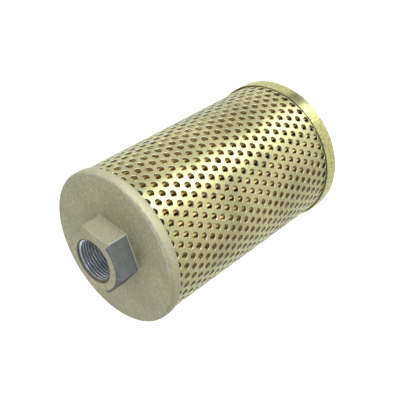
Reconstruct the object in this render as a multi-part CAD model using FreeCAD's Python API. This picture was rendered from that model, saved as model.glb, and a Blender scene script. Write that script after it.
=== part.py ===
import FreeCAD, Part
import math
import os

# Hydraulic filter element that screws onto a pipe by the hexagon boss of its front cap.
# All lengths are in millimetres and all angles in degrees.
# The axis is Z. The element stands on its rear cap at z = 0, and the port opens upwards.

# Port boss, with the pipe thread as a plain bore at its crest diameter
THREAD_MINOR_D = 30.291
THREAD_MAJOR_D = 33.249
THREAD_LEAD_IN = 0.4
HEX_ACROSS_FLATS = 46.0
HEX_HEIGHT = 17.5
HEX_CHAMFER_D = 44.6
HEX_CHAMFER_ANGLE = 30.0
HEX_ROOT_FILLET = 1.0

# Front cap, die cast in one piece with its boss
FRONT_PLATE = 4.0
FRONT_SKIRT = 3.5
FRONT_SKIRT_WALL = 1.1
FRONT_RIM_RADIUS = 2.0
HUB_HEIGHT = 4.0

# Rear cap, pressed from sheet
REAR_CAP_HEIGHT = 11.6
REAR_SHEET = 0.9
REAR_BEND_RADIUS = 1.6

# Outer tube, rolled from perforated sheet with a lapped seam
TUBE_D = 114.6
TUBE_LENGTH = 182.0
TUBE_SHEET = 1.0
TUBE_HOLES_AROUND = 20
TUBE_HOLE = 8.2
TUBE_SEAM_ANGLE = -73.8

# Core tube
CORE_D = 64.0
CORE_SHEET = 1.0
CORE_HOLES_AROUND = 8
CORE_HOLE = 9.0
CORE_RING_RISE = 40.0

# Pleated media, and the clip over its seam
PLEATS = 84
MEDIA_SHEET = 0.8
CLIP_SHEET = 0.4
CLIP_DEPTH = 8.0

# Adhesive in both caps, with a thin bed of it under the tubes in the rear pan
POTTING_DEPTH = 3.0
POTTING_BED = 0.6

# Clearances
TUBE_TO_SKIRT = 0.1
TUBE_TO_PAN = 0.8
CORE_TO_HUB = 0.3
MEDIA_TO_SEAM = 0.3
MEDIA_TO_CORE = 0.3
CLIP_TO_MEDIA = 0.05
HOLE_TO_CAP = 1.5

# A round bend or rim is made of this many straight steps
BEND_STEPS = 2

# Heights along the axis
rear_floor_z = REAR_SHEET
media_rear_z = rear_floor_z + POTTING_DEPTH
tube_rear_z = rear_floor_z + POTTING_BED
plate_inner_z = tube_rear_z + TUBE_LENGTH
media_front_z = plate_inner_z - POTTING_DEPTH
skirt_end_z = plate_inner_z - FRONT_SKIRT
plate_outer_z = plate_inner_z + FRONT_PLATE
boss_face_z = plate_outer_z + HEX_HEIGHT

# Radii that two pieces share
skirt_bore = TUBE_D / 2 + TUBE_TO_SKIRT
front_rim = skirt_bore + FRONT_SKIRT_WALL
pan_bore = TUBE_D / 2 + TUBE_TO_PAN
rear_rim = pan_bore + REAR_SHEET
tube_step = 180.0 / TUBE_HOLES_AROUND
core_step = 180.0 / CORE_HOLES_AROUND
seam_inner_radius = (TUBE_D / 2 - 2 * TUBE_SHEET) * math.cos(math.radians(tube_step / 2))
core_inner_radius = (CORE_D / 2 - CORE_SHEET) * math.cos(math.radians(core_step / 2))
hub_radius = core_inner_radius - CORE_TO_HUB
crest_radius = seam_inner_radius - MEDIA_TO_SEAM
root_radius = CORE_D / 2 + MEDIA_TO_CORE


def at(radius, angle, z=0.0):
    """A point given by its distance from the axis, its angle and its height."""
    turn = math.radians(angle)
    return FreeCAD.Vector(radius * math.cos(turn), radius * math.sin(turn), z)


def face_of(points):
    """A flat face inside the closed outline through the points."""
    return Part.Face(Part.makePolygon(points + points[:1]))


def raised(face, height):
    """A solid with the face as its lower end."""
    return face.extrude(FreeCAD.Vector(0, 0, height))


def turned(profile):
    """A solid of revolution about the axis, from pairs of radius and height."""
    points = [FreeCAD.Vector(radius, 0, z) for radius, z in profile]
    return face_of(points).revolve(FreeCAD.Vector(0, 0, 0), FreeCAD.Vector(0, 0, 1), 360)


def rounded_corner(radius, z, bend, side):
    """Profile points of an outer bend that ends at the radius, rising to it (-1) or leaving it (1)."""
    steps = [90.0 * step / BEND_STEPS for step in range(BEND_STEPS + 1)]
    return [(radius - bend + bend * math.cos(math.radians(turn)),
             z - side * bend + side * bend * math.sin(math.radians(turn))) for turn in steps[::side]]


def hole_punch(radius, across, z, sheet):
    """A six-sided punch through the wall at angle 0, with one corner pointing along the axis."""
    corner = across / math.sqrt(3)
    reach = 3 * sheet
    outline = []
    for side in range(6):
        turn = math.radians(60 * side)
        outline.append(FreeCAD.Vector(radius - reach, corner * math.sin(turn), z + corner * math.cos(turn)))
    return face_of(outline).extrude(FreeCAD.Vector(2 * reach, 0, 0))


def perforated_tube(diameter, sheet, holes_around, across, ring_heights, seam_angle=None):
    """A tube of flats, two to each hole of a ring. The rings take the even and the odd flats in turn.

    With a seam angle, the flat there is two sheets thick, where the rolled sheet overlaps itself.
    """
    radius = diameter / 2
    step = 180.0 / holes_around

    def punched_flat(wall, parity):
        outline = [at(radius, -step / 2, tube_rear_z), at(radius, step / 2, tube_rear_z),
                   at(radius - wall, step / 2, tube_rear_z), at(radius - wall, -step / 2, tube_rear_z)]
        punches = [hole_punch(radius, across, z, sheet) for z in ring_heights[parity::2]]
        return raised(face_of(outline), TUBE_LENGTH).cut(Part.makeCompound(punches))

    flats = [punched_flat(sheet, 0), punched_flat(sheet, 1)] * holes_around
    if seam_angle is not None:
        flats[0] = punched_flat(2 * sheet, 0)
    wall = []
    for number, flat in enumerate(flats):
        copy = flat.copy()
        copy.rotate(FreeCAD.Vector(0, 0, 0), FreeCAD.Vector(0, 0, 1), (seam_angle or 0.0) + step * number)
        wall.append(copy)
    return wall[0].multiFuse(wall[1:]).removeSplitter()


def rings_between(z_low, z_high, rise):
    """The heights of as many rings as fit between two heights, one rise apart and centred."""
    count = int((z_high - z_low) // rise) + 1
    first = (z_low + z_high - (count - 1) * rise) / 2
    return [first + rise * ring for ring in range(count)]


def outer_tube():
    """The perforated outer tube, with its lapped seam."""
    rise = math.pi * TUBE_D / TUBE_HOLES_AROUND * math.sqrt(3) / 2
    edge = HOLE_TO_CAP + TUBE_HOLE / math.sqrt(3)
    rings = rings_between(REAR_CAP_HEIGHT + edge, skirt_end_z - edge, rise)
    return perforated_tube(TUBE_D, TUBE_SHEET, TUBE_HOLES_AROUND, TUBE_HOLE, rings, TUBE_SEAM_ANGLE)


def core_tube():
    """The perforated tube inside the pleats, which carries them against the suction."""
    rings = rings_between(media_rear_z + CORE_HOLE, media_front_z - CORE_HOLE, CORE_RING_RISE)
    return perforated_tube(CORE_D, CORE_SHEET, CORE_HOLES_AROUND, CORE_HOLE, rings)


def front_end_cap():
    """The cast disc with its skirt, its hub inside the core tube and its threaded hexagon boss."""
    hub_end_z = plate_inner_z - HUB_HEIGHT
    disc = turned([(0, hub_end_z), (hub_radius, hub_end_z), (hub_radius, plate_inner_z),
                   (skirt_bore, plate_inner_z), (skirt_bore, skirt_end_z), (front_rim, skirt_end_z)]
                  + rounded_corner(front_rim, plate_outer_z, FRONT_RIM_RADIUS, 1)
                  + [(0, plate_outer_z)])

    boss_foot_z = plate_inner_z
    boss_rise = boss_face_z - boss_foot_z
    corners = [at(HEX_ACROSS_FLATS / math.sqrt(3), 60 * side, boss_foot_z) for side in range(6)]
    face_radius = HEX_CHAMFER_D / 2
    foot_radius = face_radius + boss_rise / math.tan(math.radians(HEX_CHAMFER_ANGLE))
    chamfer = turned([(0, boss_foot_z), (foot_radius, boss_foot_z), (face_radius, boss_face_z), (0, boss_face_z)])
    boss = raised(face_of(corners), boss_rise).common(chamfer)

    cap = disc.fuse(boss).removeSplitter()
    root = [edge for edge in cap.Edges if isinstance(edge.Curve, Part.Line)
            and all(math.isclose(vertex.Z, plate_outer_z) for vertex in edge.Vertexes)]
    cap = cap.makeFillet(HEX_ROOT_FILLET, root)

    bore = THREAD_MINOR_D / 2
    mouth = THREAD_MAJOR_D / 2 + THREAD_LEAD_IN
    port = turned([(0, hub_end_z), (bore, hub_end_z), (bore, boss_face_z - (mouth - bore)),
                   (mouth, boss_face_z), (0, boss_face_z)])
    return cap.cut(port)


def rear_end_cap():
    """The pressed pan: a flat floor, a bend and a plain wall."""
    return turned([(0, 0)] + rounded_corner(rear_rim, 0, REAR_BEND_RADIUS, -1)
                  + [(rear_rim, REAR_CAP_HEIGHT), (pan_bore, REAR_CAP_HEIGHT),
                     (pan_bore, rear_floor_z), (0, rear_floor_z)])


def pleated_media():
    """One sheet folded into pleats and closed to a ring, with crests and roots two sheets wide."""
    step = 360.0 / PLEATS
    crest_half = math.degrees(MEDIA_SHEET / crest_radius)
    root_half = math.degrees(MEDIA_SHEET / root_radius)
    outside = []
    inside = []
    for pleat in range(PLEATS):
        crest = step * pleat
        root = crest + step / 2
        outside += [at(crest_radius, crest - crest_half, media_rear_z),
                    at(crest_radius, crest + crest_half, media_rear_z),
                    at(root_radius + MEDIA_SHEET, root, media_rear_z)]
        inside += [at(crest_radius - MEDIA_SHEET, crest, media_rear_z),
                   at(root_radius, root - root_half, media_rear_z),
                   at(root_radius, root + root_half, media_rear_z)]
    return raised(face_of(outside).cut(face_of(inside)), media_front_z - media_rear_z)


def media_clip():
    """The U-shaped strip over one pleat, where the two ends of the sheet meet."""
    half_at_root = root_radius * math.radians(180.0 / PLEATS)
    spread = (half_at_root - MEDIA_SHEET) * CLIP_DEPTH / (crest_radius - root_radius)
    slot = MEDIA_SHEET + max(spread, 0) + CLIP_TO_MEDIA
    side = slot + CLIP_SHEET
    web = crest_radius + CLIP_TO_MEDIA
    foot = crest_radius - CLIP_DEPTH
    outline = [(foot, -side), (web + CLIP_SHEET, -side), (web + CLIP_SHEET, side), (foot, side),
               (foot, slot), (web, slot), (web, -slot), (foot, -slot)]
    points = [FreeCAD.Vector(x, y, media_rear_z) for x, y in outline]
    return raised(face_of(points), media_front_z - media_rear_z)


def front_potting(tubes):
    """The adhesive between the tubes, poured on the front cap's plate."""
    outer = turned([(hub_radius, media_front_z), (TUBE_D / 2, media_front_z),
                    (TUBE_D / 2, plate_inner_z), (hub_radius, plate_inner_z)])
    rings = outer.cut(tubes).Solids
    return max(rings, key=lambda ring: ring.Volume)


def rear_potting(tubes):
    """The adhesive that has levelled out over the floor of the rear pan."""
    fill = turned([(0, rear_floor_z), (pan_bore, rear_floor_z), (pan_bore, media_rear_z), (0, media_rear_z)])
    return fill.cut(tubes)


def main():
    os.makedirs("parts", exist_ok=True)
    outer = outer_tube()
    core = core_tube()
    tubes = Part.makeCompound([outer, core])
    pieces = {
        "front_end_cap": front_end_cap(),
        "rear_end_cap": rear_end_cap(),
        "outer_tube": outer,
        "core_tube": core,
        "pleated_media": pleated_media(),
        "media_clip": media_clip(),
        "front_potting": front_potting(tubes),
        "rear_potting": rear_potting(tubes),
    }
    for name, shape in pieces.items():
        shape.exportStep("parts/" + name + ".step")


main()
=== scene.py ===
import math

import bmesh
import bpy
import numpy as np
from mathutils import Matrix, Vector


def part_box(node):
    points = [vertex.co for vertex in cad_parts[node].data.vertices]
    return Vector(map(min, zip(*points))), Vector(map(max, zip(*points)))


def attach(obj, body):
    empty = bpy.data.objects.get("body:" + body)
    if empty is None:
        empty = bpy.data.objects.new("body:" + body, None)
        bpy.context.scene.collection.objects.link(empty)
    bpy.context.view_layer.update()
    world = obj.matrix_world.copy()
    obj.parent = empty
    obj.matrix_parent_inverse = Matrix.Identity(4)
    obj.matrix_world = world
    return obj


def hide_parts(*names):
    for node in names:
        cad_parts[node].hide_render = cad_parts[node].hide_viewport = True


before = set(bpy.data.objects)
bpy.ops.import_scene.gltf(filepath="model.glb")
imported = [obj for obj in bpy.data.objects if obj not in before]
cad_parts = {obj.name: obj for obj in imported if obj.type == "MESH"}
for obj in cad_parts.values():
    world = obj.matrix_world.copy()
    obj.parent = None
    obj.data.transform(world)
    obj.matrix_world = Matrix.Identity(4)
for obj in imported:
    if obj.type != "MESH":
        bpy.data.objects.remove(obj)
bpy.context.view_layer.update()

# A hydraulic filter element that stands on its rear pan, with its threaded boss on top.
# Lengths in this file are in millimetres until a piece's mesh is made, which is in metres.
MM = 0.001

# Sizes read from the frame
cap_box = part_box("front_end_cap")
pan_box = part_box("rear_end_cap")
tube_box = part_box("outer_tube")
media_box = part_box("pleated_media")
BOSS_FACE_Z = cap_box[1][2] / MM
HUB_END_Z = cap_box[0][2] / MM
TUBE_REAR_Z = tube_box[0][2] / MM
TUBE_FRONT_Z = tube_box[1][2] / MM
PAN_HEIGHT = pan_box[1][2] / MM
MEDIA_REAR_Z = media_box[0][2] / MM
MEDIA_FRONT_Z = media_box[1][2] / MM

# Front cap: its plate, skirt, rim and hub
HEX_HEIGHT = 17.5
SKIRT_DEPTH = 3.5
PLATE_Z = BOSS_FACE_Z - HEX_HEIGHT
SKIRT_END_Z = TUBE_FRONT_Z - SKIRT_DEPTH
CAP_RADIUS = 58.5
RIM_RADIUS = 2.6
RIM_START = CAP_RADIUS - RIM_RADIUS
SKIRT_BORE = 57.4
SKIRT_EDGE = 0.3
SKIRT_INNER_EDGE = 0.1
HUB_RADIUS = 30.1
HUB_FOOT = 1.0
HUB_EDGE = 0.4

# Hexagon boss. Its upper edge is softened by a step in, up and down from the shoulder.
HEX_ACROSS_FLATS = 46.0
HEX_CORNER_RADIUS = 0.9
HEX_CHAMFER_RADIUS = 22.3
HEX_CHAMFER_SLOPE = math.tan(math.radians(30))
HEX_EDGE_IN = 0.05
HEX_EDGE_UP = 0.02
HEX_EDGE_DOWN = 0.12
ROOT_FILLET = 0.7
BOSS_REACH = 28.0

# Pipe thread. Crest and root are flat over a share of half the pitch, and a share of the flank is rounded.
THREAD_MINOR = 30.291 / 2
THREAD_MAJOR = 33.249 / 2
THREAD_PITCH = 2.309
THREAD_FLAT = 0.14
THREAD_ROUNDING = 0.25
ROWS_PER_PITCH = 12
MOUTH_RADIUS = THREAD_MAJOR + 0.4

# Outer tube, with its holes in staggered rings. The first ring whole in view has one more above it.
TUBE_RADIUS = 57.3
SHEET = 1.0
HOLES_AROUND = 45
HOLE_RADIUS = 2.6
HOLE_PITCH = 7.97
HOLE_EDGE = 0.15
HOLE_STEPS = 18
FIRST_RING_Z = 172.7
RINGS = 26
SEAM_ANGLE = -73.8
SEAM_SINK = SHEET + 0.05
SEAM_STRETCH = 3.2 * HOLE_PITCH
GIRTH = HOLES_AROUND * HOLE_PITCH
LAP_END = GIRTH + HOLE_PITCH / 2

# Rear pan
PAN_RADIUS = 59.0
PAN_SHEET = 0.9
PAN_BEND = 1.6

# Pleats. Each crest wanders by a share of the pleats' step, drops a little and sways along its height.
PLEATS = 84
CREST = 54.8
ROOT = 32.3
CREST_ROUND = 0.78
ROOT_ROUND = 0.45
MEDIA_SHEET = 0.8
CREST_WANDER = 0.05
CREST_DROP = 0.7
CREST_SWAY = 0.05
SWAY_LENGTH = 19

# Mesh clean-up, in metres: points nearer than this are one, and edges shorter than this go
WELD = 1e-6
SLIVER = 1e-7


def make_piece(name, points, faces, material, node, crease=35.0):
    """A mesh piece from points in millimetres, welded, turned outwards and put in place of its CAD node.

    Edges that bend by more than the crease, in degrees, stay sharp.
    """
    mesh = bpy.data.meshes.new(name)
    mesh.from_pydata((points * MM).tolist(), [], faces)
    work = bmesh.new()
    work.from_mesh(mesh)
    bmesh.ops.remove_doubles(work, verts=work.verts, dist=WELD)
    bmesh.ops.dissolve_degenerate(work, edges=work.edges, dist=SLIVER)
    bmesh.ops.recalc_face_normals(work, faces=work.faces)
    work.to_mesh(mesh)
    work.free()
    mesh.shade_smooth()
    mesh.set_sharp_from_angle(angle=math.radians(crease))
    piece = bpy.data.objects.new(name, mesh)
    bpy.context.scene.collection.objects.link(piece)
    mesh.materials.append(material)
    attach(piece, "root")
    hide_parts(node)
    return piece


# Shapes that several pieces use
def grid_faces(rows, columns, close_rows=False):
    """Quads of a grid that closes round its columns, and round its rows where that is asked."""
    row = np.arange(rows if close_rows else rows - 1)[:, None]
    column = np.arange(columns)[None, :]
    following_row = (row + 1) % rows
    following_column = (column + 1) % columns
    quads = np.stack([row * columns + column, row * columns + following_column,
                      following_row * columns + following_column, following_row * columns + column], -1)
    return quads.reshape(-1, 4).tolist()


def round_about(radii, heights, angles):
    """Points of a turned grid: x = r cos a, y = r sin a, z = h, for every row of radii and heights."""
    radii, heights, angles = np.broadcast_arrays(radii, heights, angles)
    return np.stack([radii * np.cos(angles), radii * np.sin(angles), heights], -1).reshape(-1, 3)


def quarter(centre_radius, centre_z, radius, start, steps):
    """Rows of a quarter round: centre plus radius times (cos t, sin t), as t falls 90 degrees from start."""
    turn = np.radians(start - np.linspace(0, 90, steps))
    return np.stack([centre_radius + radius * np.cos(turn), centre_z + radius * np.sin(turn)], -1)


def smooth_step(share):
    """A rise from 0 to 1, level at both ends: the share squared, times three less twice the share."""
    return share * share * (3 - 2 * share)


# The front cap
def cap_angles(samples=48, gather=1.7):
    """Angles once round, gathered towards the hexagon's corners by a power of their distance from one."""
    share = np.linspace(-1, 1, samples, endpoint=False)
    within = np.sign(share) * np.abs(share) ** gather * 30
    return np.radians((60 * np.arange(6)[:, None] + within[None]).ravel())


def hexagon_radius(angles):
    """The hexagon's wall: half the flats over the cosine to the flat, and a circle's far side at a corner."""
    from_corner = np.abs((np.degrees(angles) + 30) % 60 - 30)
    half = HEX_ACROSS_FLATS / 2
    flat = half / np.cos(np.radians(30 - from_corner))
    centre = (half - HEX_CORNER_RADIUS) / math.cos(math.radians(30))
    turn = np.radians(from_corner)
    under = np.maximum(HEX_CORNER_RADIUS ** 2 - (centre * np.sin(turn)) ** 2, 0)
    corner = centre * np.cos(turn) + np.sqrt(under)
    tangent = math.atan2(HEX_CORNER_RADIUS * math.sin(math.radians(30)),
                         centre + HEX_CORNER_RADIUS * math.cos(math.radians(30)))
    return np.where(turn < tangent, corner, flat)


def bore_radius(angles, heights):
    """The threaded bore: a rounded V that climbs a pitch a turn, opened by a cone at the mouth and hub."""
    turn = (heights / THREAD_PITCH - angles / (2 * math.pi)) % 1.0
    ridge = np.abs(2 * turn - 1)
    flank = np.clip((ridge - THREAD_FLAT) / (1 - 2 * THREAD_FLAT), 0, 1)
    depth = flank * (1 - THREAD_ROUNDING) + THREAD_ROUNDING * smooth_step(flank)
    thread = THREAD_MINOR + (THREAD_MAJOR - THREAD_MINOR) * depth
    mouth = MOUTH_RADIUS - (BOSS_FACE_Z - heights)
    inner = MOUTH_RADIUS - (heights - HUB_END_Z)
    return np.maximum(thread, np.maximum(mouth, inner))


def cast_cap(material):
    """One closed grid: up the threaded bore, over the boss, across the plate, round the rim and down the hub.

    A row gives a radius and a height for every angle. Rows on the boss keep the hexagon's radius, rows on the
    chamfer go from its circle to the hexagon by a share, and rows on the plate from the hexagon to the rim.
    """
    angles = cap_angles()
    wall = hexagon_radius(angles)
    rows = []

    def add(radius, height):
        """Adds a row. A single number stands for the same radius or height all round."""
        rows.append((radius + 0 * angles, height + 0 * angles))

    thread_rows = int((BOSS_FACE_Z - HUB_END_Z) / THREAD_PITCH * ROWS_PER_PITCH)
    for height in np.linspace(HUB_END_Z, BOSS_FACE_Z, thread_rows):
        add(bore_radius(angles, height), height)
    for share in (0.06, 0.5, 0.94, 1.0):
        add(MOUTH_RADIUS + (HEX_CHAMFER_RADIUS - MOUTH_RADIUS) * share, BOSS_FACE_Z)

    shoulder = BOSS_FACE_Z - (wall - HEX_CHAMFER_RADIUS) * HEX_CHAMFER_SLOPE
    for share in (0.15, 0.5, 0.85):
        add(HEX_CHAMFER_RADIUS + (wall - HEX_CHAMFER_RADIUS) * share,
            BOSS_FACE_Z + (shoulder - BOSS_FACE_Z) * share)
    add(wall - HEX_EDGE_IN, shoulder + HEX_EDGE_UP)
    wall_top = shoulder - HEX_EDGE_DOWN
    add(wall, wall_top)
    wall_foot = PLATE_Z + ROOT_FILLET
    for share in (0.1, 0.4, 0.7, 1.0):
        add(wall, wall_top + (wall_foot - wall_top) * share)
    for turn in np.radians([18, 36, 54, 72, 90]):
        add(wall + ROOT_FILLET * (1 - math.cos(turn)), wall_foot - ROOT_FILLET * math.sin(turn))

    plate_start = wall + ROOT_FILLET
    for share in np.linspace(0.08, 1, 9):
        add(plate_start + (RIM_START - plate_start) * share, PLATE_Z)
    for radius, height in quarter(RIM_START, PLATE_Z - RIM_RADIUS, RIM_RADIUS, 90, 9)[1:]:
        add(radius, height)
    skirt_divide = SKIRT_END_Z + 2.5
    for radius, height in [(CAP_RADIUS, skirt_divide), (CAP_RADIUS, SKIRT_END_Z + SKIRT_EDGE),
                           (CAP_RADIUS - SKIRT_EDGE, SKIRT_END_Z),
                           (SKIRT_BORE + SKIRT_INNER_EDGE, SKIRT_END_Z),
                           (SKIRT_BORE, SKIRT_END_Z + SKIRT_INNER_EDGE), (SKIRT_BORE, TUBE_FRONT_Z),
                           (HUB_RADIUS + HUB_FOOT, TUBE_FRONT_Z), (HUB_RADIUS, TUBE_FRONT_Z - HUB_FOOT),
                           (HUB_RADIUS, HUB_END_Z + HUB_EDGE), (HUB_RADIUS - HUB_EDGE, HUB_END_Z)]:
        add(radius, height)

    radii = np.array([radius for radius, _ in rows])
    heights = np.array([height for _, height in rows])
    points = round_about(radii, heights, angles[None])
    faces = grid_faces(len(rows), len(angles), close_rows=True)
    return make_piece("front_cap_cast", points, faces, material, "front_end_cap", 50)


# The rear pan
def pressed_pan(material):
    """A turned sheet: the floor, bend and wall outside, a half-round lip, and the same again inside.

    The points written as numbers only divide the flat floor and the straight wall.
    """
    angles = np.radians(np.arange(0, 360, 2))
    bend_centre = PAN_RADIUS - PAN_BEND
    outer = quarter(bend_centre, PAN_BEND, PAN_BEND, 0, 8)[::-1]
    inner = quarter(bend_centre, PAN_BEND, PAN_BEND - PAN_SHEET, 0, 6)
    half_sheet = PAN_SHEET / 2
    lip_turn = np.radians(np.linspace(0, 180, 9))
    lip = np.stack([PAN_RADIUS - half_sheet + half_sheet * np.cos(lip_turn),
                    PAN_HEIGHT - half_sheet + half_sheet * np.sin(lip_turn)], -1)
    profile = np.concatenate([[(0, 0), (20, 0), (40, 0), (54, 0)], outer,
                              [(PAN_RADIUS, 5), (PAN_RADIUS, 8)], lip,
                              [(PAN_RADIUS - PAN_SHEET, 5)], inner,
                              [(40, PAN_SHEET), (0, PAN_SHEET)]])
    points = round_about(profile[:, :1], profile[:, 1:], angles[None])
    return make_piece("rear_pan_pressed", points, grid_faces(len(profile), len(angles)),
                      material, "rear_end_cap")


# The outer tube
def tube_place(along, height, depth):
    """Bends the flat sheet round: the way along it is the angle, and its depth comes off the radius.

    The last stretch sinks by a smooth step, to lie under the sheet's own first edge.
    """
    share = np.clip((along - GIRTH + SEAM_STRETCH) / SEAM_STRETCH, 0, 1)
    radius = TUBE_RADIUS - SEAM_SINK * smooth_step(share) - depth
    angle = math.radians(SEAM_ANGLE) + along / GIRTH * 2 * math.pi
    return np.stack([radius * np.cos(angle), radius * np.sin(angle), height + 0 * angle], -1).reshape(-1, 3)


def hole_cells(centres, steps, start):
    """Cells of the staggered pattern: each is a hexagon of sheet with a hole in its middle.

    Five rows of points run from the outer skin's hexagon, over the hole's edge and through the hole, to the
    inner skin's hexagon. Strips close the sheet where a cell's side lies on an end of the tube or on a cut
    edge. Cells with fewer steps than a whole turn are cut through their holes, and a face closes each end of
    their steps. The faces count the points on from the start number.
    """
    side_steps = HOLE_STEPS // 6
    reach = HOLE_PITCH / math.sqrt(3)
    corner = np.radians(90 - 60 * (steps // side_steps))
    following = corner - math.radians(60)
    share = steps % side_steps / side_steps
    hexagon = reach * np.stack([np.cos(corner) * (1 - share) + np.cos(following) * share,
                                np.sin(corner) * (1 - share) + np.sin(following) * share])
    turn = np.radians(90 - 360 / HOLE_STEPS * steps)
    circle = np.stack([np.cos(turn), np.sin(turn)])
    outlines = np.stack([hexagon, (HOLE_RADIUS + HOLE_EDGE) * circle, HOLE_RADIUS * circle,
                         HOLE_RADIUS * circle, hexagon])
    depth = np.array([0, 0, HOLE_EDGE, SHEET, SHEET])[None, :, None]
    on_hexagon = np.array([True, False, False, False, True])[None, :, None]
    middle = centres[:, 1, None, None]
    along = centres[:, 0, None, None] + outlines[None, :, 0]
    rise = outlines[None, :, 1]

    # The hexagon's upper and lower sides start half its reach from the middle, less a little for rounding
    side_start = 0.49 * reach
    at_top = on_hexagon & (middle > TUBE_FRONT_Z - reach) & (rise > side_start)
    at_bottom = on_hexagon & (middle < TUBE_REAR_Z + 2 * reach) & (rise < -side_start)
    height = np.where(at_top, TUBE_FRONT_Z, np.where(at_bottom, TUBE_REAR_Z, middle + rise))
    points = tube_place(along, height, depth)

    number = start + np.arange(len(points)).reshape(along.shape)
    walls = np.stack([number[:, :-1, :-1], number[:, :-1, 1:], number[:, 1:, 1:], number[:, 1:, :-1]], -1)
    on_end = (at_top | at_bottom)[:, 0]
    on_cut = np.isclose(along[:, 0], 0, 0, 1e-6) | np.isclose(along[:, 0], LAP_END, 0, 1e-6)
    closed = on_end[:, :-1] & on_end[:, 1:] | on_cut[:, :-1] & on_cut[:, 1:]
    strips = np.stack([number[:, 4, :-1], number[:, 4, 1:], number[:, 0, 1:], number[:, 0, :-1]], -1)[closed]
    faces = walls.reshape(-1, 4).tolist() + strips.tolist()
    if len(steps) <= HOLE_STEPS:
        faces += number[:, :, 0].tolist() + number[:, :, -1].tolist()
    return points, faces


def dress_edges(piece, cut_material, rim_material):
    """Materials for the cut edges and hole walls, and for the slanted rims of the holes.

    How far a face looks outwards is its normal times the direction from the axis: 1 on the skin, 0.7 on a
    slanted rim and 0 on a cut edge.
    """
    cut_below = 0.5
    rim_below = 0.93
    mesh = piece.data
    mesh.materials.append(cut_material)
    mesh.materials.append(rim_material)
    normals = np.zeros(len(mesh.polygons) * 3)
    centres = np.zeros(len(mesh.polygons) * 3)
    mesh.polygons.foreach_get("normal", normals)
    mesh.polygons.foreach_get("center", centres)
    normals = normals.reshape(-1, 3)[:, :2]
    centres = centres.reshape(-1, 3)[:, :2]
    outward = np.abs((normals * centres).sum(1)) / np.linalg.norm(centres, axis=1)
    index = np.select([outward < cut_below, outward < rim_below], [1, 2], 0)
    mesh.polygons.foreach_set("material_index", index.astype(np.int32))


def perforated_tube(material, cut_material, rim_material):
    """The rolled sheet: cells on a staggered lattice, bent round, with both cut edges through holes."""
    rise = HOLE_PITCH * math.sqrt(3) / 2
    rings = FIRST_RING_Z - rise * (np.arange(RINGS) - 1)
    turns = np.arange(HOLES_AROUND)
    between = [(HOLE_PITCH * (turn + 0.5), height) for height in rings[::2] for turn in turns]
    on_seam = [(HOLE_PITCH * (turn + 1), height) for height in rings[1::2] for turn in turns]
    first_halves = [(0.0, height) for height in rings[1::2]]
    last_halves = [(LAP_END, height) for height in rings[::2]]
    whole_turn = np.arange(HOLE_STEPS + 1)
    half_turn = HOLE_STEPS // 2
    points = []
    faces = []
    start = 0
    for centres, steps in ((between + on_seam, whole_turn), (first_halves, whole_turn[:half_turn + 1]),
                           (last_halves, whole_turn[half_turn:])):
        cell_points, cell_faces = hole_cells(np.array(centres), steps, start)
        points.append(cell_points)
        faces += cell_faces
        start += len(cell_points)
    piece = make_piece("perforated_tube", np.concatenate(points), faces, material,
                       "outer_tube", 40)
    dress_edges(piece, cut_material, rim_material)
    return piece


# The pleats
def pleated_ring(material):
    """A folded sheet: half circles at each crest and root, offset by half the sheet, with straight legs."""
    rng = np.random.default_rng(7)
    step = 2 * math.pi / PLEATS
    heights = np.linspace(MEDIA_REAR_Z, MEDIA_FRONT_Z, 15)
    crest_turn = np.radians(np.linspace(-90, 90, 9))
    root_turn = np.radians(np.linspace(-90, 90, 5))
    sideways = rng.uniform(-CREST_WANDER, CREST_WANDER, PLEATS) * step
    depth = rng.uniform(0, CREST_DROP, PLEATS)
    phase = rng.uniform(0, 2 * math.pi, PLEATS)
    sway = CREST_SWAY * step * np.sin(heights[:, None] / SWAY_LENGTH + phase[None])

    def side(offset):
        """One side of the sheet, this far outside its middle, as rows of points up its height.

        A crest's half circle is turned to its pleat's angle, with its own wander, drop and sway. A root's
        half circle opens the other way, half a step on.
        """
        crest_round = CREST_ROUND + offset
        root_round = ROOT_ROUND - offset
        crest_x = crest_round * np.sin(crest_turn)
        crest_y = CREST - CREST_ROUND - MEDIA_SHEET / 2 + crest_round * np.cos(crest_turn)
        root_x = root_round * np.sin(root_turn)
        root_y = ROOT + ROOT_ROUND + MEDIA_SHEET / 2 - root_round * np.cos(root_turn)
        crest_angle = (step * np.arange(PLEATS) + sideways)[None, :, None] + sway[:, :, None]
        root_angle = (step * (np.arange(PLEATS) + 0.5))[None, :, None] + 0 * sway[:, :, None]
        reach = crest_y[None, None] - depth[None, :, None]
        crest = np.stack([reach * np.cos(crest_angle) - crest_x * np.sin(crest_angle),
                          reach * np.sin(crest_angle) + crest_x * np.cos(crest_angle)], -1)
        root = np.stack([root_y * np.cos(root_angle) - root_x * np.sin(root_angle),
                         root_y * np.sin(root_angle) + root_x * np.cos(root_angle)], -1)
        flat = np.concatenate([crest, root], 2).reshape(len(heights), -1, 2)
        tall = np.broadcast_to(heights[:, None, None], flat.shape[:2] + (1,))
        return np.concatenate([flat, tall], -1)

    outside = side(MEDIA_SHEET / 2)
    inside = side(-MEDIA_SHEET / 2)
    columns = outside.shape[1]
    points = np.concatenate([outside, inside[::-1]]).reshape(-1, 3)
    faces = grid_faces(2 * len(heights), columns, close_rows=True)
    return make_piece("pleated_paper", points, faces, material, "pleated_media", 60)


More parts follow.
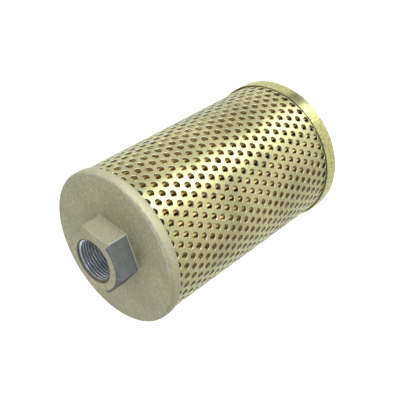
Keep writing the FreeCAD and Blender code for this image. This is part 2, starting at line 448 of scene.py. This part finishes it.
# Shader tools
class Value:
    """A shader socket that arithmetic works on, each sign adding one Math node."""

    def __init__(self, tree, socket):
        self.tree = tree
        self.socket = socket

    def maths(self, operation, other=0.0, swapped=False):
        """A Math node on this value and another, with their places swapped where that is asked."""
        node = self.tree.nodes.new("ShaderNodeMath")
        node.operation = operation
        for place, value in enumerate((other, self) if swapped else (self, other)):
            if isinstance(value, Value):
                self.tree.links.new(value.socket, node.inputs[place])
            else:
                node.inputs[place].default_value = value
        return Value(self.tree, node.outputs[0])

    def __add__(self, other):
        return self.maths("ADD", other)

    __radd__ = __add__

    def __mul__(self, other):
        return self.maths("MULTIPLY", other)

    __rmul__ = __mul__

    def __sub__(self, other):
        return self.maths("SUBTRACT", other)

    def __rsub__(self, other):
        return self.maths("SUBTRACT", other, swapped=True)

    def __gt__(self, other):
        return self.maths("GREATER_THAN", other)

    def __lt__(self, other):
        return self.maths("LESS_THAN", other)


class Nodes:
    """A node tree, with one method that adds any node but the Math ones."""

    # The Mix node's sockets for colours
    MIX_SHARE = 0
    MIX_FIRST = 6
    MIX_SECOND = 7
    MIX_RESULT = 2

    def __init__(self, tree):
        self.tree = tree

    def node(self, kind, settings, inputs, output=0):
        """Adds a node: its settings first, then numbers or links into its sockets. Gives back one output."""
        made = self.tree.nodes.new(kind)
        for name, value in settings.items():
            if name == "stops":
                while len(made.color_ramp.elements) < len(value):
                    made.color_ramp.elements.new(0.5)
                for element, (position, colour) in zip(made.color_ramp.elements, value):
                    element.position = position
                    element.color = (*colour, 1.0)
            else:
                setattr(made, name, value)
        for name, value in inputs.items():
            if isinstance(value, Value):
                self.tree.links.new(value.socket, made.inputs[name])
            else:
                made.inputs[name].default_value = value
        return Value(self.tree, made.outputs[output])

    def mixed(self, share, first, second):
        """Two colours mixed by a share: all the first at 0, all the second at 1."""
        first, second = [colour if isinstance(colour, Value) else (*colour, 1.0)
                         for colour in (first, second)]
        return self.node("ShaderNodeMix", {"data_type": "RGBA"},
                         {self.MIX_SHARE: share, self.MIX_FIRST: first, self.MIX_SECOND: second},
                         self.MIX_RESULT)

    def seen(self):
        """1 on the camera's rays, and on those that mirrors and glass pass on to it."""
        camera, glossy, passed = [self.node("ShaderNodeLightPath", {}, {}, f"Is {kind} Ray")
                                  for kind in ("Camera", "Glossy", "Transmission")]
        return camera.maths("MAXIMUM", glossy).maths("MAXIMUM", passed)


class Finish(Nodes):
    """One material and its shader, with what the finishes share."""

    def __init__(self, name, **fixed):
        self.material = bpy.data.materials.new(name)
        self.material.use_nodes = True
        super().__init__(self.material.node_tree)
        self.shader = self.tree.nodes["Principled BSDF"]
        for socket, value in fixed.items():
            self.shader.inputs[socket.replace("_", " ")].default_value = value
        self.place = self.node("ShaderNodeTexCoord", {}, {}, "Object")

    def noise(self, scale, detail=4.0, roughness=0.55, stretch=(1, 1, 1)):
        """A noise between 0 and 1 on the object's coordinates, in metres, stretched along the axes."""
        place = self.node("ShaderNodeMapping", {}, {"Vector": self.place, "Scale": stretch})
        return self.node("ShaderNodeTexNoise", {}, {"Vector": place, "Scale": scale, "Detail": detail,
                                                    "Roughness": roughness})

    def ramp(self, value, stops):
        """A colour for every value, by straight steps between the stops."""
        return self.node("ShaderNodeValToRGB", {"stops": stops}, {"Fac": value})

    def between(self, value, low, high):
        """0 below the low value, 1 above the high one, and a straight rise from one to the other."""
        return self.node("ShaderNodeMapRange", {}, {"Value": value, "From Min": low, "From Max": high})

    def band(self, value, rise, fall):
        """1 from the end of a rise to the start of a fall, 0 outside both, each given by its two ends."""
        return self.between(value, *rise) * (1.0 - self.between(value, *fall))

    def around(self):
        """Distance from the axis, the angle round it from -1 to 1, and the height."""
        x, y, z = [self.node("ShaderNodeSeparateXYZ", {}, {"Vector": self.place}, axis) for axis in range(3)]
        radius = (x * x + y * y).maths("SQRT")
        angle = y.maths("ARCTAN2", x) * (1 / math.pi)
        return radius, angle, z

    def bump(self, height, distance, strength=1.0, after=None):
        """A bump of this height, over a distance in metres, on top of the one that comes before it."""
        inputs = {"Height": height, "Distance": distance, "Strength": strength}
        if after is not None:
            inputs["Normal"] = after
        return self.node("ShaderNodeBump", {}, inputs)

    def wear(self, **varied):
        """Links what changes over the surface to the shader's sockets."""
        for socket, value in varied.items():
            self.tree.links.new(value.socket, self.shader.inputs[socket.replace("_", " ")])
        return self.material


# Finishes. An angle in them is a share of half a turn, as around() gives it.
def cast_finish():
    """Chromated die casting: a fine matt grain and cloudy olive grey, rubbed bare in places.

    Painted shade darkens the hexagon's flats on one side to a bluish grey. The film is rubbed bright on the
    hexagon's corners and in a thin line round part of the rim, and that line is also a painted highlight
    where the rim's highlight shows from the camera. The thread is machined through it, and the cone at its
    mouth is dark.
    """
    film = [(0.36, (0.33, 0.31, 0.20)), (0.5, (0.40, 0.375, 0.24)), (0.66, (0.455, 0.425, 0.28))]
    grey_mottle = (0.235, 0.23, 0.18)
    dark_specks = (0.19, 0.18, 0.13)
    skirt_tint = (0.33, 0.30, 0.165)
    wall_tint = (0.22, 0.20, 0.12)
    # Painted shade: dark bluish greys for the hexagon's flats that face away from the lamps
    painted_flat_shade = [(0.3, (0.07, 0.08, 0.08)), (0.7, (0.12, 0.135, 0.13))]
    # Rubbed film on the hexagon's corners, and the painted highlight of the line round the rim
    wear_and_highlight_colour = (0.47, 0.52, 0.54)
    mouth_dark = (0.09, 0.085, 0.055)
    cut_thread = [(0.35, (0.28, 0.315, 0.335)), (0.7, (0.47, 0.51, 0.54))]

    finish = Finish("cast_olive_grey", Specular_IOR_Level=0.5)
    radius, angle, height = finish.around()
    backwards = angle * -1.0
    cloud = finish.noise(28, 5, 0.6)
    mottle = finish.noise(330, 4, 0.65)
    speckle = finish.noise(900, 3, 0.7)
    colour = finish.ramp(cloud, film)
    colour = finish.mixed(finish.between(mottle, 0.42, 0.62) * 0.45, colour, grey_mottle)
    colour = finish.mixed(finish.between(speckle, 0.42, 0.60) * 0.42, colour, dark_specks)
    skirt = radius > (CAP_RADIUS - 0.35) * MM
    colour = finish.mixed(skirt * 0.6, colour, skirt_tint)

    wall = (height > (PLATE_Z + 0.4) * MM) * (height < (BOSS_FACE_Z - 0.05) * MM) * (radius < BOSS_REACH * MM)
    colour = finish.mixed(wall * 0.6, colour, wall_tint)
    # Painted shade: the hexagon's flats from about -60 degrees round to -180, away from the lamps, are
    # darkened to a bluish grey
    ragged = (mottle - 0.5) * 0.012
    flats = wall * finish.between(backwards + ragged, 0.328, 0.342)
    colour = finish.mixed(flats * 0.85, colour, finish.ramp(mottle, painted_flat_shade))

    # Painted highlight: a lighter line just inside the rim, strongest from about -54 to -90 degrees where the
    # rim's highlight shows from the camera; the film is also rubbed there and smoother
    line = finish.band(radius, ((RIM_START - 0.7) * MM, (RIM_START - 0.3) * MM),
                       ((RIM_START + 0.2) * MM, (RIM_START + 0.8) * MM))
    line = line * finish.band(backwards, (0.20, 0.30), (0.50, 0.66))
    line = line * (height > (PLATE_Z - 2) * MM) * finish.between(mottle, 0.3, 0.46)
    from_corner = (angle * 3.0).maths("PINGPONG", 0.5)
    corners = wall * (1.0 - finish.between(from_corner, 0.006, 0.016)) * finish.between(mottle, 0.36, 0.5)
    # Rubbed corners, plus the rim line's painted highlight
    wear_and_highlight = line + corners * 0.8
    colour = finish.mixed(wear_and_highlight * 0.5, colour, wear_and_highlight_colour)

    inside = radius < MOUTH_RADIUS * MM * 0.998
    colour = finish.mixed(inside * 0.75, colour, mouth_dark)
    bored = inside * (height < (BOSS_FACE_Z - 1.7) * MM)
    colour = finish.mixed(bored, colour, finish.ramp(finish.noise(260, 3, 0.5, (1, 1, 4)), cut_thread))

    metal = 0.55 + bored * 0.4 + wear_and_highlight * 0.3
    rough = 0.62 + 0.12 * cloud - 0.26 * bored - 0.15 * wear_and_highlight
    grain = finish.bump(finish.noise(1500, 2, 0.6), 0.00015, 0.6)
    normal = finish.bump(mottle, 0.0002, 0.35, grain)
    return finish.wear(Base_Color=colour, Metallic=metal, Roughness=rough, Normal=normal)


def zinc_tube_finish():
    """Bright yellow zinc on rolled sheet: faint clouds of green and straw, fine marks and slight waves."""
    zinc = [(0.38, (0.33, 0.312, 0.14)), (0.5, (0.42, 0.395, 0.178)), (0.64, (0.505, 0.47, 0.218))]
    handled = (0.40, 0.40, 0.24)
    finish = Finish("yellow_zinc_tube", Metallic=0.98, Anisotropic=0.9, Anisotropic_Rotation=0.25,
                    Coat_Weight=0.3, Coat_Roughness=0.3)
    cloud = finish.noise(22, 4, 0.55)
    marks = finish.noise(520, 4, 0.65, (1, 1, 0.25))
    colour = finish.mixed(marks * 0.3, finish.ramp(cloud, zinc), handled)
    rough = 0.38 + 0.16 * marks + 0.08 * cloud
    fine_waves = finish.bump(finish.noise(150, 2, 0.5), 0.0004, 0.2)
    waves = finish.bump(finish.noise(40, 2, 0.5), 0.0022, 0.32, fine_waves)
    return finish.wear(Base_Color=colour, Roughness=rough, Normal=waves)


def cut_edge_finish():
    """Sheared steel under a thin veil of zinc: greyer and darker than the skin."""
    steel = [(0.3, (0.25, 0.24, 0.20)), (0.7, (0.42, 0.41, 0.36))]
    finish = Finish("sheared_steel", Metallic=0.85)
    cloud = finish.noise(400, 3, 0.6)
    return finish.wear(Base_Color=finish.ramp(cloud, steel), Roughness=0.3 + 0.2 * cloud)


def burnished_rim_finish():
    """The rim of each hole, pressed smooth by the punch: brighter and paler than the skin."""
    pale_zinc = [(0.3, (0.40, 0.39, 0.25)), (0.7, (0.60, 0.58, 0.38))]
    finish = Finish("burnished_rim", Metallic=1.0)
    cloud = finish.noise(300, 3, 0.6)
    return finish.wear(Base_Color=finish.ramp(cloud, pale_zinc), Roughness=0.45 + 0.2 * cloud)


def zinc_pan_finish():
    """The same zinc on the drawn pan: fine streaks along the draw, and a painted dark reflection in one band.
    """
    zinc = [(0.36, (0.28, 0.265, 0.105)), (0.5, (0.44, 0.415, 0.175)), (0.62, (0.57, 0.54, 0.25))]
    # Painted reflection: the dark colour of the band beside the strip lamp's highlight
    painted_dark_reflection = (0.12, 0.11, 0.045)
    finish = Finish("yellow_zinc_pan", Metallic=0.98, Anisotropic=0.9, Anisotropic_Rotation=0.25,
                    Coat_Weight=0.25, Coat_Roughness=0.3)
    _, angle, height = finish.around()
    unrolled = finish.node("ShaderNodeCombineXYZ", {}, {"X": angle * 60, "Y": height * 60})
    streak = finish.node("ShaderNodeTexNoise", {"noise_dimensions": "2D"},
                         {"Vector": unrolled, "Scale": 4.0, "Detail": 4.0, "Roughness": 0.6})
    # Painted reflection: a dark streaky band from about -54 to -34 degrees, beside the strip lamp's
    # highlight, where the drawn wall shows a dark reflection from the camera
    stretch = finish.band(angle, (-0.300, -0.262), (-0.222, -0.19))
    stretch = stretch * (0.55 + 0.45 * finish.between(streak, 0.4, 0.6))
    colour = finish.mixed(stretch, finish.ramp(streak, zinc), painted_dark_reflection)
    return finish.wear(Base_Color=colour, Roughness=0.3 + 0.2 * streak,
                       Normal=finish.bump(streak, 0.0003, 0.2))


def paper_finish():
    """Resin-soaked filter paper, golden brown with a fibre grain, with painted shade towards the roots and
    painted light at the crests.
    """
    # Painted shade: the paper's colours towards the roots of the folds
    painted_fold_shade = [(0.3, (0.20, 0.12, 0.035)), (0.7, (0.31, 0.20, 0.06))]
    # Painted light: the paper's golden colour as it looks lit, at the crests
    crest = [(0.36, (0.56, 0.39, 0.12)), (0.64, (0.82, 0.63, 0.24))]
    fibre_brown = (0.20, 0.12, 0.04)
    finish = Finish("resin_paper", Specular_IOR_Level=0.35)
    radius = finish.around()[0]
    fibre = finish.noise(700, 5, 0.7)
    cloud = finish.noise(45, 3, 0.5)
    # Painted shade and light: dark towards the roots, rising to the lit crest colours from 49 to 54.2 mm out
    outwards = finish.between(radius, 49 * MM, 54.2 * MM)
    colour = finish.mixed(outwards, finish.ramp(cloud, painted_fold_shade), finish.ramp(cloud, crest))
    colour = finish.mixed(fibre * 0.35, colour, fibre_brown)
    return finish.wear(Base_Color=colour, Roughness=0.5 + 0.3 * fibre, Normal=finish.bump(fibre, 0.0003, 0.5))


def plain_zinc_finish(name, dark, light):
    """Plain zinc on hidden steel: two close greys and a light brushing."""
    finish = Finish(name, Metallic=0.95)
    cloud = finish.noise(60, 4, 0.6)
    colour = finish.ramp(cloud, [(0.3, dark), (0.7, light)])
    return finish.wear(Base_Color=colour, Roughness=0.3 + 0.2 * cloud, Normal=finish.bump(cloud, 0.0003, 0.2))


def adhesive_finish():
    """Dark cast adhesive with a slightly uneven, satin surface."""
    dark_resin = [(0.3, (0.020, 0.019, 0.017)), (0.7, (0.045, 0.042, 0.036))]
    finish = Finish("dark_adhesive")
    cloud = finish.noise(90, 4, 0.6)
    return finish.wear(Base_Color=finish.ramp(cloud, dark_resin), Roughness=0.35 + 0.3 * cloud,
                       Normal=finish.bump(cloud, 0.0008, 0.4))


def dress_node(name, material):
    """Gives a CAD node that stays in view its finish."""
    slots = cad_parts[name].data.materials
    slots.clear()
    slots.append(material)


# The pieces, each made with its finish
cast_cap(cast_finish())
pressed_pan(zinc_pan_finish())
perforated_tube(zinc_tube_finish(), cut_edge_finish(), burnished_rim_finish())
pleated_ring(paper_finish())
adhesive = adhesive_finish()
dress_node("core_tube", plain_zinc_finish("core_zinc", (0.40, 0.40, 0.32), (0.56, 0.55, 0.43)))
dress_node("media_clip", plain_zinc_finish("clip_strip", (0.36, 0.36, 0.35), (0.50, 0.50, 0.49)))
dress_node("front_potting", adhesive)
dress_node("rear_potting", adhesive)


# The stage, in metres: a white floor, a white surround, soft lamps and the camera
FLOOR_HALF = 6.0
FLOOR_GAP = 0.0002
FLOOR_GLOW = (0.55, 0.55, 0.55)
FLOOR_LIT = (0.6, 0.6, 0.6)
FLOOR_SEEN = (0.86, 0.86, 0.86)
SURROUND_WHITE = (0.97, 0.985, 1.0, 1.0)
SURROUND_LIGHT = 0.45
LAMPS_AIM = (0, 0, 0.1)
CAMERA_PLACE = (0.168383, -0.414249, 0.444743)
CAMERA_TURN = (-34.5675, 42.0921, -113.2428)
CAMERA_LENS = 66.51
CAMERA_SENSOR = 36.0
CAMERA_NEAR = 0.01
CAMERA_FAR = 100.0


def white_floor():
    """A flat white floor. To the camera and in reflections it is white wherever no shadow falls."""
    mesh = bpy.data.meshes.new("floor")
    half = FLOOR_HALF
    mesh.from_pydata([(-half, -half, 0), (half, -half, 0), (half, half, 0), (-half, half, 0)], [],
                     [(0, 1, 2, 3)])
    floor = bpy.data.objects.new("floor", mesh)
    bpy.context.scene.collection.objects.link(floor)
    floor.location.z = -FLOOR_GAP
    finish = Finish("floor_white", Roughness=0.9, Specular_IOR_Level=0.1, Emission_Strength=1.0)
    seen = finish.seen()
    mesh.materials.append(finish.wear(Base_Color=finish.mixed(seen, FLOOR_LIT, FLOOR_SEEN),
                                      Emission_Color=finish.mixed(seen, (0, 0, 0), FLOOR_GLOW)))


def white_surround():
    """A white surround, as the camera and the metal see it, which lights the element less than it shows."""
    world = bpy.data.worlds.new("surround")
    bpy.context.scene.world = world
    world.use_nodes = True
    nodes = Nodes(world.node_tree)
    back = nodes.tree.nodes["Background"]
    back.inputs["Color"].default_value = SURROUND_WHITE
    strength = SURROUND_LIGHT + (1.0 - SURROUND_LIGHT) * nodes.seen()
    nodes.tree.links.new(strength.socket, back.inputs["Strength"])


def softbox(name, heading, elevation, distance, size, power, colour=(1, 1, 1)):
    """A rectangular lamp that looks at the element's middle, from a heading and an elevation in degrees."""
    lamp = bpy.data.lights.new(name, "AREA")
    lamp.shape = "RECTANGLE"
    lamp.size, lamp.size_y = size
    lamp.energy = power
    lamp.color = colour
    light = bpy.data.objects.new(name, lamp)
    bpy.context.scene.collection.objects.link(light)
    turn = math.radians(heading)
    rise = math.radians(elevation)
    towards = Vector((math.cos(turn) * math.cos(rise), math.sin(turn) * math.cos(rise), math.sin(rise)))
    light.location = Vector(LAMPS_AIM) + towards * distance
    light.rotation_mode = "QUATERNION"
    light.rotation_quaternion = towards.to_track_quat("Z", "Y")


def photo_camera():
    """The camera that the photograph was taken with, as fitted to the element's circles."""
    camera_data = bpy.data.cameras.new("camera")
    camera_data.sensor_width = CAMERA_SENSOR
    camera_data.lens = CAMERA_LENS
    camera_data.clip_start = CAMERA_NEAR
    camera_data.clip_end = CAMERA_FAR
    camera = bpy.data.objects.new("camera", camera_data)
    bpy.context.scene.collection.objects.link(camera)
    camera.location = CAMERA_PLACE
    camera.rotation_euler = [math.radians(turn) for turn in CAMERA_TURN]
    bpy.context.scene.camera = camera


white_floor()
white_surround()
softbox("key", heading=30, elevation=38, distance=1.3, size=(0.8, 0.7), power=3)
softbox("strip", heading=-47, elevation=4, distance=1.2, size=(0.56, 0.26), power=21, colour=(0.8, 0.87, 1.0))
softbox("fill", heading=-75, elevation=42, distance=1.3, size=(0.6, 0.5), power=3.5)
softbox("top", heading=135, elevation=36, distance=1.4, size=(0.9, 0.9), power=4)
photo_camera()
bpy.context.scene.view_settings.view_transform = "Standard"
